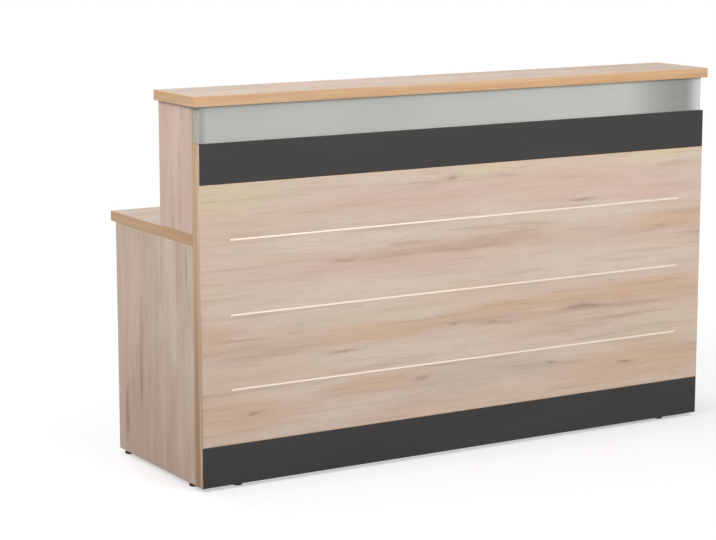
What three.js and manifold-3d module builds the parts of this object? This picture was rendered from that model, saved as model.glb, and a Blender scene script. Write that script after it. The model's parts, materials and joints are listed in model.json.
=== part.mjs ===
// Reception desk: a raised visitor counter on a clad front, a staff worktop behind it and a drawer pedestal.
// Millimetres, +Z up. X runs along the desk, visitors stand on the -Y side and staff on the +Y side.
// The origin is on the floor under the middle of the desk's box.

import * as THREE from "three";
import { mergeVertices } from "three/addons/utils/BufferGeometryUtils.js";
import Module from "manifold-3d";

const wasm = await Module();
wasm.setup();

// Overall sizes
const FRONT_WIDTH = 1830; // across the outer faces of the end panels
const DESK_DEPTH = 600; // visitor face of the front to the staff edge of the worktop
const COUNTER_HEIGHT = 1150; // floor to the counter's top face
const WORKTOP_HEIGHT = 750; // floor to the worktop's top face
const FLOOR_GAP = 11; // floor to the lower edges of the boards

// Boards
const TOP_BOARD = 30; // counter and worktop
const CARCASS_BOARD = 28; // end panels, risers, divider, gable and the front's backing
const FACING_BOARD = 18; // front cladding, fascia, drawer fronts and pedestal base
const PEDESTAL_BACK_BOARD = 8;
const EDGE_EASE = 1; // rounding of a board's edges
const JOINT = 0.2; // joint line between two boards or a board and its fitting
const FIT = 0.3; // clearance round a piece that sits in a bore, a groove or a slot

// Edge bands of the two tops
const EDGE_BAND = 2;
const BAND_ROUND = 1.5;
const TOP_CORNER = 4;

// Counter
const COUNTER_DEPTH = 260;
const COUNTER_NOSING = 3; // reach past the visitor face
const COUNTER_OVERHANG = 15; // reach past each end panel

// Carcass
const END_PANEL_SETBACK = 38; // worktop's staff edge to the end panels
const RISER_SETBACK = 3; // counter's staff edge to the risers

// Front cladding, from the top down
const FASCIA_HEIGHT = 106;
const FASCIA_RECESS = 8; // behind the visitor face
const FASCIA_INSET = 6; // from each end
const UPPER_BAND_HEIGHT = 117;
const PLINTH_HEIGHT = 120;

// Inlay strips: a flat head on the facing, with a stem pressed in a groove
const STRIP_SPACING = 220;
const STRIP_END_INSET = 96;
const STRIP_HEAD = 5;
const STRIP_PROUD = 1;
const STRIP_STEM = 1.6;
const STRIP_STEM_DEPTH = 7;

// Levelling glides, screwed into threaded inserts
const GLIDE_PAD_RADIUS = 14;
const GLIDE_PAD_CHAMFER = 2;
const GLIDE_COLLAR_RADIUS = 9;
const GLIDE_COLLAR_HEIGHT = 2.5;
const GLIDE_STEM_RADIUS = 4;
const GLIDE_STEM_LENGTH = 24;
const INSERT_WALL = 2.2;
const INSERT_LENGTH = 20;
const INSERT_FLANGE_RADIUS = 10;
const INSERT_FLANGE = 1.5;
const GLIDE_BORE_SPARE = 4; // depth of the bore past the stem
const GLIDE_EDGE_INSET = 40; // from the edges of an end panel or the gable
const GLIDE_FRONT_INSET = 130; // from each end of the front

// Cable grommets in the worktop
const GROMMET_BORE_RADIUS = 30;
const GROMMET_WALL = 2.2;
const GROMMET_FLANGE_REACH = 4; // past the bore
const GROMMET_FLANGE = 2.5;
const GROMMET_SLEEVE_LENGTH = 22;
const GROMMET_LEDGE = 2;
const GROMMET_CAP = 3;
const CABLE_SLOT_RADIUS = 8;
const CABLE_SLOT_REACH = 12; // grommet's axis to the centre of the slot's round end
const GROMMET_INSET = 240; // from each side of the kneehole
const GROMMET_SETBACK = 70; // from the risers' staff edges

// Angle brackets between the front and the worktop
const BRACKET_LEG = 40;
const BRACKET_LENGTH = 50;
const BRACKET_SHEET = 3;
const BRACKET_BEND = 4;
const BRACKET_HOLE_RADIUS = 2.6;
const BRACKET_HOLE_SPACING = 28;
const BRACKET_HOLE_DROP = 25; // from the bend
const BRACKET_INSET = 150; // from each side of the kneehole

// Pedestal and drawers
const DRAWER_BAY_WIDTH = 400;
const PEDESTAL_LIFT = 30; // pedestal base above the boards' lower edges
const PEDESTAL_BACK_INSET = 60; // cable space behind the pedestal
const DRAWER_FRONT_GAP = 3;
const SMALL_FRONT_HEIGHT = 160;
const DRAWER_SHEET = 1.2;
const DRAWER_FLANGE_DROP = 32; // top of a drawer front to its body's flange
const SMALL_BODY_LIFT = 23; // lower edge of a small drawer's front to its body
const FILE_BODY_LIFT = 35; // lower edge of the file drawer's front to its body
const DRAWER_SIDE_GAP = 1; // drawer body to runner
const RUNNER_DEPTH = 12;
const RUNNER_HEIGHT = 16;
const RUNNER_WEB = 2.5;
const RUNNER_ROUND = 2;
const RUNNER_STOP = 6; // closed end of the runner's slot
const RUNNER_FRONT_GAP = 2;

// Bow handles
const HANDLE_CENTRES = 128;
const HANDLE_RADIUS = 5;
const HANDLE_PROJECTION = 26; // drawer face to the bar's axis
const HANDLE_BEND = 14;
const HANDLE_DROP = 80; // top of a drawer front to the bar's axis

// Facets; an arc has two sides for each of its curveSegments
const ROUND_SIDES = 24;
const SMALL_SIDES = 16;
const HANDLE_SIDES = 10;
const HANDLE_STEPS = 32;
const CORNER_SIDES = 4;
const EASE_STEPS = 2;
const BAND_STEPS = 3;

// Planes that the boards share
const endX = FRONT_WIDTH / 2;
const endInnerX = endX - CARCASS_BOARD;
const counterFrontY = -(COUNTER_NOSING + DESK_DEPTH) / 2;
const faceY = counterFrontY + COUNTER_NOSING;
const backingY = faceY + FACING_BOARD;
const frontBackY = backingY + CARCASS_BOARD;
const staffEdgeY = faceY + DESK_DEPTH;
const endPanelBackY = staffEdgeY - END_PANEL_SETBACK;
const counterBackY = counterFrontY + COUNTER_DEPTH;
const riserBackY = counterBackY - RISER_SETBACK;
const worktopUnderZ = WORKTOP_HEIGHT - TOP_BOARD;
const counterUnderZ = COUNTER_HEIGHT - TOP_BOARD;
const frontTopZ = counterUnderZ - FASCIA_HEIGHT;
const facingTopZ = frontTopZ - UPPER_BAND_HEIGHT;
const facingBottomZ = FLOOR_GAP + PLINTH_HEIGHT;
const gableInnerX = endInnerX - DRAWER_BAY_WIDTH;
const gableOuterX = gableInnerX - CARCASS_BOARD;

// Finishes, from the photograph
const OAK = { color: 0xd0b8a5, roughness: 0.5, metalness: 0 };
const OAK_EDGE = { color: 0xcda06f, roughness: 0.45, metalness: 0 };
const CHARCOAL = { color: 0x474747, roughness: 0.55, metalness: 0 };
const PALE_GREY = { color: 0xbdbdb6, roughness: 0.4, metalness: 0 };
const ALUMINIUM = { color: 0xe6e2dc, roughness: 0.3, metalness: 1 };
const STEEL = { color: 0xb9bbbd, roughness: 0.35, metalness: 1 };
const GREY_PAINT = { color: 0x8f9294, roughness: 0.5, metalness: 0.2 };
const BLACK_PLASTIC = { color: 0x1c1c1d, roughness: 0.5, metalness: 0 };
const WHITE_NYLON = { color: 0xd9d9d4, roughness: 0.45, metalness: 0 };

const X_AXIS = new THREE.Vector3(1, 0, 0);
const Y_AXIS = new THREE.Vector3(0, 1, 0);
const Z_AXIS = new THREE.Vector3(0, 0, 1);

// A profile is drawn in the two axes that follow its extrusion's axis:
// (y, z) for one along x, (z, x) for one along y and (x, y) for one along z.
const TURN = {
  x: new THREE.Matrix4().makeBasis(Y_AXIS, Z_AXIS, X_AXIS),
  y: new THREE.Matrix4().makeBasis(Z_AXIS, X_AXIS, Y_AXIS),
  z: new THREE.Matrix4(),
};
const PROFILE_AXES = { x: ["y", "z"], y: ["z", "x"], z: ["x", "y"] };

const middle = ([low, high]) => (low + high) / 2;
const extent = ([low, high]) => high - low;

function piece(name, finish, geometry, place = [0, 0, 0]) {
  const mesh = new THREE.Mesh(geometry, new THREE.MeshStandardMaterial(finish));
  mesh.name = name;
  mesh.position.set(...place);
  return mesh;
}

function groupOf(...children) {
  const group = new THREE.Group();
  group.add(...children);
  return group;
}

function solidOf(geometry) {
  const bare = geometry.clone();
  bare.deleteAttribute("normal");
  bare.deleteAttribute("uv");
  const welded = mergeVertices(bare);
  const vertProperties = Float32Array.from(welded.attributes.position.array);
  const triVerts = Uint32Array.from(welded.index.array);
  return new wasm.Manifold(new wasm.Mesh({ numProp: 3, vertProperties, triVerts }));
}

function geometryOf(solid) {
  const { vertProperties, triVerts } = solid.getMesh();
  const geometry = new THREE.BufferGeometry();
  geometry.setAttribute("position", new THREE.BufferAttribute(vertProperties, 3));
  geometry.setIndex(new THREE.BufferAttribute(triVerts, 1));
  geometry.computeVertexNormals();
  return geometry;
}

function subtract(geometry, tools) {
  const cutBy = (solid, tool) => solid.subtract(solidOf(tool));
  return geometryOf(tools.reduce(cutBy, solidOf(geometry)));
}

function outline(points) {
  return new THREE.Shape(points.map(([across, up]) => new THREE.Vector2(across, up)));
}

function roundedRectangle(width, height, radius) {
  const right = width / 2 - radius;
  const top = height / 2 - radius;
  const quarter = Math.PI / 2;
  const shape = new THREE.Shape();
  shape.absarc(right, top, radius, 0, quarter);
  shape.absarc(-right, top, radius, quarter, 2 * quarter);
  shape.absarc(-right, -top, radius, 2 * quarter, 3 * quarter);
  shape.absarc(right, -top, radius, 3 * quarter, 4 * quarter);
  return shape;
}

function extruded(shape, axis, [low, high]) {
  const options = { depth: high - low, bevelEnabled: false, curveSegments: CORNER_SIDES / 2 };
  return new THREE.ExtrudeGeometry(shape, options).translate(0, 0, low).applyMatrix4(TURN[axis]);
}

// A plate about its own centre, its edges rounded by ease.
function easedPlate(shape, axis, thickness, ease, steps) {
  const depth = thickness - 2 * ease;
  const options = {
    depth,
    bevelThickness: ease,
    bevelSize: ease,
    bevelOffset: -ease,
    bevelSegments: steps,
    curveSegments: CORNER_SIDES / 2,
  };
  return new THREE.ExtrudeGeometry(shape, options).translate(0, 0, -depth / 2).applyMatrix4(TURN[axis]);
}

// A board between its spans, extruded through its thickness along axis, and cut by tools in part coordinates.
function board(name, finish, axis, spans, tools = []) {
  const [across, up] = PROFILE_AXES[axis].map((key) => extent(spans[key]) / 2);
  const corners = [[-across, -up], [across, -up], [across, up], [-across, up]];
  const place = ["x", "y", "z"].map((key) => middle(spans[key]));
  const blank = easedPlate(outline(corners), axis, extent(spans[axis]), EDGE_EASE, EASE_STEPS);
  const local = tools.map((tool) => tool.translate(...place.map((value) => -value)));
  return piece(name, finish, local.length ? subtract(blank, local) : blank, place);
}

function box(x, y, z) {
  return new THREE.BoxGeometry(extent(x), extent(y), extent(z)).translate(middle(x), middle(y), middle(z));
}

function cylinder(radius, axis, [low, high], sides = ROUND_SIDES) {
  const circle = new THREE.Shape().absarc(0, 0, radius, 0, 2 * Math.PI);
  const options = { depth: high - low, bevelEnabled: false, curveSegments: sides / 2 };
  return new THREE.ExtrudeGeometry(circle, options).translate(0, 0, low).applyMatrix4(TURN[axis]);
}

// A turned piece about Z from its [radius, height] profile.
function turned(profile, sides = ROUND_SIDES) {
  const points = profile.map(([radius, height]) => new THREE.Vector2(radius, height));
  return new THREE.LatheGeometry(points, sides).rotateX(Math.PI / 2);
}

// A top board with an edge band round it.
function bandedTop(coreName, bandName, x, y, z, bores = []) {
  const inset = EDGE_BAND + JOINT;
  const shrink = ([low, high], by) => [low + by, high - by];
  const spans = { x: shrink(x, inset), y: shrink(y, inset), z };
  const place = [middle(x), middle(y), middle(z)];
  const toLocal = ([low, high]) => [low - (low + high) / 2, high - (low + high) / 2];
  const rim = roundedRectangle(extent(x), extent(y), TOP_CORNER);
  const plate = easedPlate(rim, "z", extent(z), BAND_ROUND, BAND_STEPS);
  const bandInside = [x, y].map((span) => shrink(toLocal(span), EDGE_BAND));
  const opening = box(...bandInside, shrink(toLocal(z), -TOP_BOARD));
  const core = box(toLocal(spans.x), toLocal(spans.y), toLocal(spans.z));
  const local = bores.map((bore) => bore.translate(...place.map((value) => -value)));
  return [
    piece(coreName, OAK, local.length ? subtract(core, local) : core, place),
    piece(bandName, OAK_EDGE, subtract(plate, [opening]), place),
  ];
}

// Levelling glide: pad, collar and stem in one, at its highest, under a flanged insert.
const insertBore = GLIDE_STEM_RADIUS + FIT;
const insertRadius = insertBore + INSERT_WALL;
const glidePadTopZ = FLOOR_GAP - JOINT - INSERT_FLANGE - FIT;
const glideStemTopZ = glidePadTopZ + GLIDE_STEM_LENGTH;

function glideGeometry() {
  const shoulderZ = glidePadTopZ - GLIDE_COLLAR_HEIGHT;
  return turned([
    [0, 0],
    [GLIDE_PAD_RADIUS - GLIDE_PAD_CHAMFER, 0],
    [GLIDE_PAD_RADIUS, GLIDE_PAD_CHAMFER],
    [GLIDE_PAD_RADIUS, shoulderZ - GLIDE_PAD_CHAMFER / 2],
    [GLIDE_PAD_RADIUS - GLIDE_PAD_CHAMFER / 2, shoulderZ],
    [GLIDE_COLLAR_RADIUS, shoulderZ],
    [GLIDE_COLLAR_RADIUS, glidePadTopZ],
    [GLIDE_STEM_RADIUS, glidePadTopZ],
    [GLIDE_STEM_RADIUS, glideStemTopZ],
    [0, glideStemTopZ],
  ]);
}

function insertGeometry() {
  const flangeTopZ = FLOOR_GAP - JOINT;
  const flangeBottomZ = flangeTopZ - INSERT_FLANGE;
  const profile = [
    [insertBore, flangeBottomZ],
    [INSERT_FLANGE_RADIUS, flangeBottomZ],
    [INSERT_FLANGE_RADIUS, flangeTopZ],
    [insertRadius, flangeTopZ],
    [insertRadius, flangeTopZ + INSERT_LENGTH],
    [insertBore, flangeTopZ + INSERT_LENGTH],
    [insertBore, flangeBottomZ],
  ];
  return turned(profile, SMALL_SIDES);
}

const glidePlaces = [];

// Notes a glide at x, y and gives the bore that the board above it needs.
function glideBore(name, x, y) {
  glidePlaces.push({ name, x, y });
  const topZ = Math.max(glideStemTopZ, FLOOR_GAP + INSERT_LENGTH) + GLIDE_BORE_SPARE;
  return cylinder(insertRadius + FIT, "z", [0, topZ]).translate(x, y, 0);
}

function glides() {
  const pairs = glidePlaces.map(({ name, x, y }) => {
    const pair = groupOf(
      piece(`glide_${name}`, BLACK_PLASTIC, glideGeometry()),
      piece(`glide_insert_${name}`, STEEL, insertGeometry()),
    );
    pair.position.set(x, y, 0);
    return pair;
  });
  return groupOf(...pairs);
}

// Upright boards that stand on two glides: the end panels and the pedestal's gable.
function uprights() {
  const y = [frontBackY + JOINT, endPanelBackY];
  const z = [FLOOR_GAP, worktopUnderZ - JOINT];
  const upright = (name, side, x) => {
    const bores = [
      glideBore(`${side}_front`, middle(x), y[0] + GLIDE_EDGE_INSET),
      glideBore(`${side}_back`, middle(x), y[1] - GLIDE_EDGE_INSET),
    ];
    return board(name, OAK, "x", { x, y, z }, bores);
  };
  return groupOf(
    upright("end_panel_left", "left", [-endX, -endInnerX]),
    upright("end_panel_right", "right", [endInnerX, endX]),
    upright("pedestal_gable", "gable", [gableOuterX, gableInnerX]),
  );
}

// The front: an oak backing on two glides, clad with a charcoal plinth, an oak facing and a charcoal band.
function front() {
  const x = [-endX, endX];
  const backing = [backingY + JOINT, frontBackY];
  const clad = [faceY, backingY];
  const glideX = endX - GLIDE_FRONT_INSET;
  const glideY = middle(backing);
  const bores = [glideBore("visitor_left", -glideX, glideY), glideBore("visitor_right", glideX, glideY)];
  const stripZ = [1, 0, -1].map((row) => (facingBottomZ + facingTopZ) / 2 + row * STRIP_SPACING);
  const stripX = [-endX + STRIP_END_INSET, endX - STRIP_END_INSET];
  const facing = { x, y: clad, z: [facingBottomZ + JOINT, facingTopZ - JOINT] };
  const grooves = stripZ.map((z) => stripGroove(stripX, z));
  const rows = ["top", "middle", "bottom"];
  const strips = rows.map((row, index) => inlayStrip(`inlay_strip_${row}`, stripX, stripZ[index]));
  return groupOf(
    board("front_panel", OAK, "y", { x, y: backing, z: [FLOOR_GAP, frontTopZ] }, bores),
    board("upper_band", CHARCOAL, "y", { x, y: clad, z: [facingTopZ, frontTopZ] }),
    board("front_facing", OAK, "y", facing, grooves),
    board("plinth_band", CHARCOAL, "y", { x, y: clad, z: [FLOOR_GAP, facingBottomZ] }),
    ...strips,
  );
}

function stripGroove([low, high], z) {
  const half = STRIP_STEM / 2 + FIT;
  const depth = STRIP_STEM_DEPTH + FIT;
  return box([low - FIT, high + FIT], [faceY - depth, faceY + depth], [z - half, z + half]);
}

function inlayStrip(name, [low, high], z) {
  const head = STRIP_HEAD / 2;
  const stem = STRIP_STEM / 2;
  const profile = outline([
    [-STRIP_PROUD, -head],
    [-JOINT, -head],
    [-JOINT, -stem],
    [STRIP_STEM_DEPTH, -stem],
    [STRIP_STEM_DEPTH, stem],
    [-JOINT, stem],
    [-JOINT, head],
    [-STRIP_PROUD, head],
  ]);
  return piece(name, ALUMINIUM, extruded(profile, "x", [low, high]), [0, faceY, z]);
}

// The pale box between the front and the counter: a face board and a return at each end.
function fascia() {
  const z = [frontTopZ + JOINT, counterUnderZ - JOINT];
  const outer = endX - FASCIA_INSET;
  const inner = outer - FACING_BOARD;
  const face = [faceY + FASCIA_RECESS, faceY + FASCIA_RECESS + FACING_BOARD];
  const depth = [face[1] + JOINT, frontBackY - JOINT];
  return groupOf(
    board("fascia_panel", PALE_GREY, "y", { x: [-outer, outer], y: face, z }),
    board("fascia_return_left", PALE_GREY, "x", { x: [-outer, -inner], y: depth, z }),
    board("fascia_return_right", PALE_GREY, "x", { x: [inner, outer], y: depth, z }),
  );
}

// Uprights on the worktop that carry the counter.
function risers() {
  const y = [frontBackY + JOINT, riserBackY];
  const z = [WORKTOP_HEIGHT + JOINT, counterUnderZ - JOINT];
  return groupOf(
    board("riser_panel_left", OAK, "x", { x: [-endX, -endInnerX], y, z }),
    board("riser_panel_right", OAK, "x", { x: [endInnerX, endX], y, z }),
    board("riser_divider", OAK, "x", { x: [-CARCASS_BOARD / 2, CARCASS_BOARD / 2], y, z }),
  );
}

function counter() {
  const reach = endX + COUNTER_OVERHANG;
  const z = [counterUnderZ, COUNTER_HEIGHT];
  return groupOf(
    ...bandedTop("counter_top", "counter_edge_band", [-reach, reach], [counterFrontY, counterBackY], z),
  );
}

// The worktop, with a lined and capped cable grommet near each side of the kneehole.
function worktop() {
  const y = riserBackY + GROMMET_SETBACK;
  const grommetAt = {
    left: [-endInnerX + GROMMET_INSET, y],
    right: [gableOuterX - GROMMET_INSET, y],
  };
  const bores = Object.values(grommetAt).map(([x, atY]) => grommetBore(x, atY));
  const z = [worktopUnderZ, WORKTOP_HEIGHT];
  return groupOf(
    ...bandedTop("worktop", "worktop_edge_band", [-endX, endX], [frontBackY + JOINT, staffEdgeY], z, bores),
    ...Object.entries(grommetAt).map(([side, [x, atY]]) => grommet(side, x, atY)),
  );
}

function grommetBore(x, y) {
  return cylinder(GROMMET_BORE_RADIUS, "z", [worktopUnderZ - TOP_BOARD, COUNTER_HEIGHT]).translate(x, y, 0);
}

function grommet(side, x, y) {
  const outer = GROMMET_BORE_RADIUS - FIT;
  const inner = outer - GROMMET_WALL;
  const ledge = inner - GROMMET_LEDGE;
  const ledgeZ = GROMMET_FLANGE - GROMMET_CAP;
  const liner = turned([
    [inner, ledgeZ - FIT],
    [inner, GROMMET_FLANGE],
    [GROMMET_BORE_RADIUS + GROMMET_FLANGE_REACH - GROMMET_FLANGE / 2, GROMMET_FLANGE],
    [GROMMET_BORE_RADIUS + GROMMET_FLANGE_REACH, GROMMET_FLANGE / 2],
    [GROMMET_BORE_RADIUS + GROMMET_FLANGE_REACH, JOINT],
    [outer, JOINT],
    [outer, -GROMMET_SLEEVE_LENGTH],
    [inner, -GROMMET_SLEEVE_LENGTH],
    [inner, ledgeZ - FIT - 2 * GROMMET_LEDGE],
    [ledge, ledgeZ - FIT - GROMMET_LEDGE],
    [ledge, ledgeZ - FIT],
    [inner, ledgeZ - FIT],
  ].reverse());
  const disc = cylinder(inner - FIT, "z", [ledgeZ, GROMMET_FLANGE]);
  const slotEnd = cylinder(CABLE_SLOT_RADIUS, "z", [ledgeZ - FIT, GROMMET_FLANGE + FIT]);
  const slotMouth = box(
    [-CABLE_SLOT_RADIUS, CABLE_SLOT_RADIUS],
    [CABLE_SLOT_REACH, GROMMET_BORE_RADIUS],
    [ledgeZ - FIT, GROMMET_FLANGE + FIT],
  );
  const cap = subtract(disc, [slotEnd.translate(0, CABLE_SLOT_REACH, 0), slotMouth]);
  const pair = groupOf(
    piece(`grommet_liner_${side}`, BLACK_PLASTIC, liner),
    piece(`grommet_cap_${side}`, BLACK_PLASTIC, cap),
  );
  pair.position.set(x, y, WORKTOP_HEIGHT);
  return pair;
}

// Folded steel angles under the worktop, with two screw holes in each leg.
function brackets() {
  const legDown = [
    [0, 0],
    [BRACKET_LEG, 0],
    [BRACKET_LEG, -BRACKET_SHEET],
    [BRACKET_SHEET + BRACKET_BEND, -BRACKET_SHEET],
    [BRACKET_SHEET, -BRACKET_SHEET - BRACKET_BEND],
    [BRACKET_SHEET, -BRACKET_LEG],
    [0, -BRACKET_LEG],
  ];
  const blank = extruded(outline(legDown), "x", [-BRACKET_LENGTH / 2, BRACKET_LENGTH / 2]);
  const through = [-BRACKET_LEG, BRACKET_LEG];
  const holes = [-1, 1].flatMap((side) => {
    const x = (side * BRACKET_HOLE_SPACING) / 2;
    return [
      cylinder(BRACKET_HOLE_RADIUS, "z", through, SMALL_SIDES).translate(x, BRACKET_HOLE_DROP, 0),
      cylinder(BRACKET_HOLE_RADIUS, "y", through, SMALL_SIDES).translate(x, 0, -BRACKET_HOLE_DROP),
    ];
  });
  const bracket = subtract(blank, holes);
  const low = -endInnerX + BRACKET_INSET;
  const high = gableOuterX - BRACKET_INSET;
  const places = { left: low, middle: (low + high) / 2, right: high };
  const seat = [frontBackY + JOINT, worktopUnderZ - JOINT];
  const placed = ([name, x]) => piece(`worktop_bracket_${name}`, STEEL, bracket.clone(), [x, ...seat]);
  return groupOf(...Object.entries(places).map(placed));
}

// Pedestal between the gable and the right end panel
const bayX = (gableInnerX + endInnerX) / 2;
const baseTopZ = FLOOR_GAP + PEDESTAL_LIFT + FACING_BOARD;
const pedestalBackY = frontBackY + PEDESTAL_BACK_INSET;
const drawerFaceY = endPanelBackY;
const drawerInnerY = drawerFaceY - FACING_BOARD;
const runnerBackY = pedestalBackY + PEDESTAL_BACK_BOARD + JOINT;
const runnerFrontY = drawerInnerY - RUNNER_FRONT_GAP;
const bodyBackY = runnerBackY + RUNNER_STOP + FIT;
const hem = 2 * DRAWER_SHEET;
const bodyHalf = DRAWER_BAY_WIDTH / 2 - JOINT - RUNNER_DEPTH - DRAWER_SIDE_GAP;
const flangeReach = DRAWER_BAY_WIDTH / 2 - JOINT - RUNNER_WEB - FIT;

function pedestalCarcass() {
  const x = [gableInnerX + JOINT, endInnerX - JOINT];
  const base = [pedestalBackY, drawerFaceY];
  const back = [pedestalBackY, pedestalBackY + PEDESTAL_BACK_BOARD];
  return groupOf(
    board("pedestal_base", OAK, "z", { x, y: base, z: [baseTopZ - FACING_BOARD, baseTopZ] }),
    board("pedestal_back", OAK, "y", { x, y: back, z: [baseTopZ + JOINT, worktopUnderZ - JOINT] }),
  );
}

// Each drawer's front, from the worktop down; the file drawer takes the height that is left.
function drawerRows() {
  const topZ = worktopUnderZ - DRAWER_FRONT_GAP;
  const step = SMALL_FRONT_HEIGHT + DRAWER_FRONT_GAP;
  const fileTopZ = topZ - 2 * step;
  const fileHeight = fileTopZ - baseTopZ - DRAWER_FRONT_GAP;
  return [
    { name: "top", topZ, height: SMALL_FRONT_HEIGHT, lift: SMALL_BODY_LIFT },
    { name: "middle", topZ: topZ - step, height: SMALL_FRONT_HEIGHT, lift: SMALL_BODY_LIFT },
    { name: "file", topZ: fileTopZ, height: fileHeight, lift: FILE_BODY_LIFT },
  ];
}

// A folded steel tray, its top at z = 0, whose side flanges, hemmed to twice the sheet, hang in the runners.
function drawerBody(height) {
  const frontY = drawerInnerY - JOINT;
  const wall = bodyHalf - DRAWER_SHEET;
  const section = outline([
    [0, -flangeReach],
    [-hem, -flangeReach],
    [-hem, -bodyHalf],
    [-height, -bodyHalf],
    [-height, bodyHalf],
    [-hem, bodyHalf],
    [-hem, flangeReach],
    [0, flangeReach],
  ]);
  const insideY = [bodyBackY + DRAWER_SHEET, frontY - DRAWER_SHEET];
  const inside = box([-wall, wall], insideY, [DRAWER_SHEET - height, hem]);
  return subtract(extruded(section, "y", [bodyBackY, frontY]), [inside]);
}

// A bent bar from foot to foot, in the plane of X and Y, its feet at y = 0.
function bowHandle() {
  const foot = HANDLE_CENTRES / 2;
  const straight = foot - HANDLE_BEND;
  const rise = HANDLE_PROJECTION - HANDLE_BEND;
  const at = (x, y) => new THREE.Vector3(x, y, 0);
  const bend = (from, corner, to) => new THREE.QuadraticBezierCurve3(from, corner, to);
  const path = new THREE.CurvePath();
  path.add(new THREE.LineCurve3(at(-foot, 0), at(-foot, rise)));
  path.add(bend(at(-foot, rise), at(-foot, HANDLE_PROJECTION), at(-straight, HANDLE_PROJECTION)));
  path.add(new THREE.LineCurve3(at(-straight, HANDLE_PROJECTION), at(straight, HANDLE_PROJECTION)));
  path.add(bend(at(straight, HANDLE_PROJECTION), at(foot, HANDLE_PROJECTION), at(foot, rise)));
  path.add(new THREE.LineCurve3(at(foot, rise), at(foot, 0)));
  const section = new THREE.Shape().absarc(0, 0, HANDLE_RADIUS, 0, 2 * Math.PI);
  return new THREE.ExtrudeGeometry(section, {
    extrudePath: path,
    steps: HANDLE_STEPS,
    curveSegments: HANDLE_SIDES / 2,
    bevelEnabled: false,
  });
}

// A runner bar with a slot for the flange, open at the front and closed at the back; its slot faces +X.
function runnerGeometry() {
  const slotHalf = hem / 2 + FIT;
  const section = roundedRectangle(RUNNER_HEIGHT, RUNNER_DEPTH, RUNNER_ROUND);
  const bar = extruded(section, "y", [runnerBackY, runnerFrontY]).translate(RUNNER_DEPTH / 2, 0, 0);
  const slotX = [RUNNER_WEB, 2 * RUNNER_DEPTH];
  const slotY = [runnerBackY + RUNNER_STOP, runnerFrontY + RUNNER_STOP];
  return subtract(bar, [box(slotX, slotY, [-slotHalf, slotHalf])]);
}

function drawers() {
  const frontHalf = DRAWER_BAY_WIDTH / 2 - DRAWER_FRONT_GAP;
  const x = [bayX - frontHalf, bayX + frontHalf];
  const y = [drawerInnerY, drawerFaceY];
  const rows = drawerRows().map(({ name, topZ, height, lift }) => {
    const flangeZ = topZ - DRAWER_FLANGE_DROP;
    const body = drawerBody(height - DRAWER_FLANGE_DROP - lift);
    const runnerZ = flangeZ - hem / 2;
    const runnerLeft = piece(`runner_${name}_left`, WHITE_NYLON, runnerGeometry());
    runnerLeft.position.set(gableInnerX + JOINT, 0, runnerZ);
    const runnerRight = piece(`runner_${name}_right`, WHITE_NYLON, runnerGeometry());
    runnerRight.position.set(endInnerX - JOINT, 0, runnerZ);
    runnerRight.scale.x = -1;
    return groupOf(
      board(`drawer_front_${name}`, OAK, "y", { x, y, z: [topZ - height, topZ] }),
      piece(`drawer_body_${name}`, GREY_PAINT, body, [bayX, 0, flangeZ]),
      piece(`drawer_handle_${name}`, STEEL, bowHandle(), [bayX, drawerFaceY + JOINT, topZ - HANDLE_DROP]),
      runnerLeft,
      runnerRight,
    );
  });
  return groupOf(...rows);
}

export default groupOf(
  counter(),
  fascia(),
  front(),
  risers(),
  worktop(),
  uprights(),
  brackets(),
  pedestalCarcass(),
  drawers(),
  glides(),
);
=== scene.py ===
"""Reception desk: finishes, fine pieces and a studio, set round the fixed frame of the desk's parts."""

import json
import math

import bmesh
import bpy
from bpy.props import FloatProperty, FloatVectorProperty, IntProperty, PointerProperty
from bpy.types import Operator, Panel, PropertyGroup
from mathutils import Matrix, Vector


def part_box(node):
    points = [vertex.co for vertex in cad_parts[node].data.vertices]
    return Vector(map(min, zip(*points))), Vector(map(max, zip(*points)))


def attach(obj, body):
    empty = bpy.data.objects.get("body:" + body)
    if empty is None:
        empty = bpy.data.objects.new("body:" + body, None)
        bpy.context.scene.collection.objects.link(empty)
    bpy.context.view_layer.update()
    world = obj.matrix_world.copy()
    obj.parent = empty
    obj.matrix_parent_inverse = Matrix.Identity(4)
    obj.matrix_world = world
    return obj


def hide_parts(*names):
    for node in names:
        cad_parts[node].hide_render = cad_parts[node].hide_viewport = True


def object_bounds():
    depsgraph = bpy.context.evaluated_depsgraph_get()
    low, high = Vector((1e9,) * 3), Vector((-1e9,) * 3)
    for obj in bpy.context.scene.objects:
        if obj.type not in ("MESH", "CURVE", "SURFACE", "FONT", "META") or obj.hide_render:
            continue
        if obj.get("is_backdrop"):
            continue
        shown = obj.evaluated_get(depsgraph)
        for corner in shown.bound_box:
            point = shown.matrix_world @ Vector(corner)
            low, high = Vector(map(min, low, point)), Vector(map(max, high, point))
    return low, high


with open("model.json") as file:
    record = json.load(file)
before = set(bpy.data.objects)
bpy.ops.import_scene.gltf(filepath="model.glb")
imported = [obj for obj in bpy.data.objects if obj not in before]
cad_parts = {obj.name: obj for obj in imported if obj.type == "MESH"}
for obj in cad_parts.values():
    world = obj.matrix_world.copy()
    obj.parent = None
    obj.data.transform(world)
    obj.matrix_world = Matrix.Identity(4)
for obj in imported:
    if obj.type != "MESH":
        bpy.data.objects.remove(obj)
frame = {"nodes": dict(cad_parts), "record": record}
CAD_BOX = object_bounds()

bl_info = {
    "name": "Reception Desk",
    "version": (1, 0, 0),
    "blender": (4, 5, 0),
    "location": "3D View > Sidebar > Desk",
    "description": "Boards, edge tapes, inlays, fittings and a studio for a reception desk",
    "category": "Object",
}

MM = 0.001
X, Y, Z = range(3)
UPWARD = (0, 0, 1)
QUARTER = math.pi / 2

# Points this close are one, faces this flat are one, edges this steep stay sharp,
# and a normal with this share along an axis looks that way
WELD = 0.01 * MM
FLAT = math.radians(0.5)
SHARP = math.radians(50)
FACING = 0.9

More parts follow.
